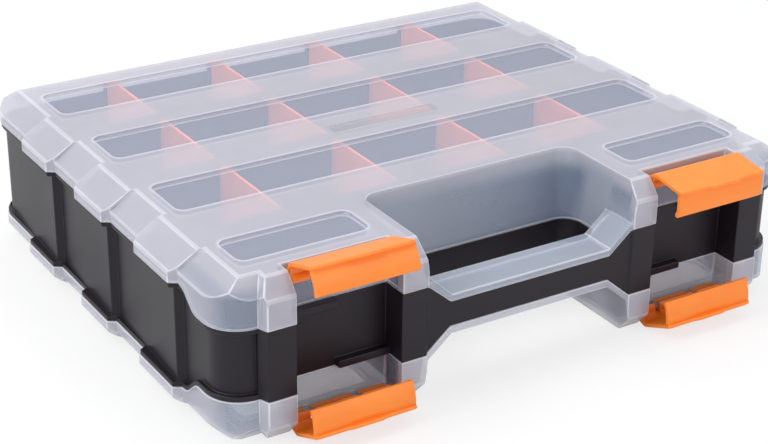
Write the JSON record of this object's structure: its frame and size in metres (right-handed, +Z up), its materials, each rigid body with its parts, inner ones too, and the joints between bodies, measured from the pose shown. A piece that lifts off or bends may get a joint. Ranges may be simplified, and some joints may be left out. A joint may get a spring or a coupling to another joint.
{
  "type": "double-sided compartment storage box",
  "caption": "Flat sorting box with open compartments on both faces, a hinged clear lid over each face, loose dividers, clip latches and a handle with a finger slot.",
  "frame": {"origin": "on the flat resting face of the bottom lid, midway between its sides and between the front of the latch towers and the lid's back edge", "axes": "+X to the right along the front with the handle, +Y from the handle to the hinges, +Z up from the bottom lid to the top lid"},
  "size_m": [0.32, 0.2867, 0.0882],
  "materials": {
    "body": "black moulded polypropylene, fine satin texture",
    "lid": "frosted clear polypropylene, smoother in the sunk windows",
    "latch": "orange moulded plastic, semi-gloss",
    "divider": "orange moulded plastic, semi-gloss"
  },
  "bodies": {
    "case": {"body": "body", "divider_top_back_1": "divider", "divider_top_back_2": "divider", "divider_top_back_3": "divider", "divider_top_back_4": "divider", "divider_top_middle_1": "divider", "divider_top_middle_2": "divider", "divider_top_middle_3": "divider", "divider_top_middle_4": "divider", "divider_top_front_1": "divider", "divider_top_front_2": "divider", "divider_top_front_3": "divider", "divider_top_front_4": "divider", "divider_bottom_back_1": "divider", "divider_bottom_back_2": "divider", "divider_bottom_back_3": "divider", "divider_bottom_back_4": "divider", "divider_bottom_middle_1": "divider", "divider_bottom_middle_2": "divider", "divider_bottom_middle_3": "divider", "divider_bottom_middle_4": "divider", "divider_bottom_front_1": "divider", "divider_bottom_front_2": "divider", "divider_bottom_front_3": "divider", "divider_bottom_front_4": "divider"},
    "top_cover": {"top_lid": "lid"},
    "bottom_cover": {"bottom_lid": "lid"},
    "latch_top_left": {"latch_top_left": "latch"},
    "latch_top_right": {"latch_top_right": "latch"},
    "latch_bottom_left": {"latch_bottom_left": "latch"},
    "latch_bottom_right": {"latch_bottom_right": "latch"}
  },
  "joints": [
    {"name": "top_lid_hinge", "type": "hinge", "parent": "case", "child": "top_cover", "pos_m": [0, 0.1337, 0.0595], "axis": [-1, 0, 0], "range_deg": [0, 110]},
    {"name": "bottom_lid_hinge", "type": "hinge", "parent": "case", "child": "bottom_cover", "pos_m": [0, 0.1337, 0.0195], "axis": [1, 0, 0], "range_deg": [0, 110]},
    {"name": "latch_top_left_pivot", "type": "hinge", "parent": "top_cover", "child": "latch_top_left", "pos_m": [-0.09635, -0.1225, 0.0735], "axis": [-1, 0, 0], "range_deg": [-98.8, 36.2]},
    {"name": "latch_top_right_pivot", "type": "hinge", "parent": "top_cover", "child": "latch_top_right", "pos_m": [0.09635, -0.1225, 0.0735], "axis": [-1, 0, 0], "range_deg": [-72.6, 62.4]},
    {"name": "latch_bottom_left_pivot", "type": "hinge", "parent": "bottom_cover", "child": "latch_bottom_left", "pos_m": [-0.09635, -0.1225, 0.0055], "axis": [1, 0, 0], "range_deg": [-58, 77]},
    {"name": "latch_bottom_right_pivot", "type": "hinge", "parent": "bottom_cover", "child": "latch_bottom_right", "pos_m": [0.09635, -0.1225, 0.0055], "axis": [1, 0, 0], "range_deg": [-59, 76]}
  ]
}
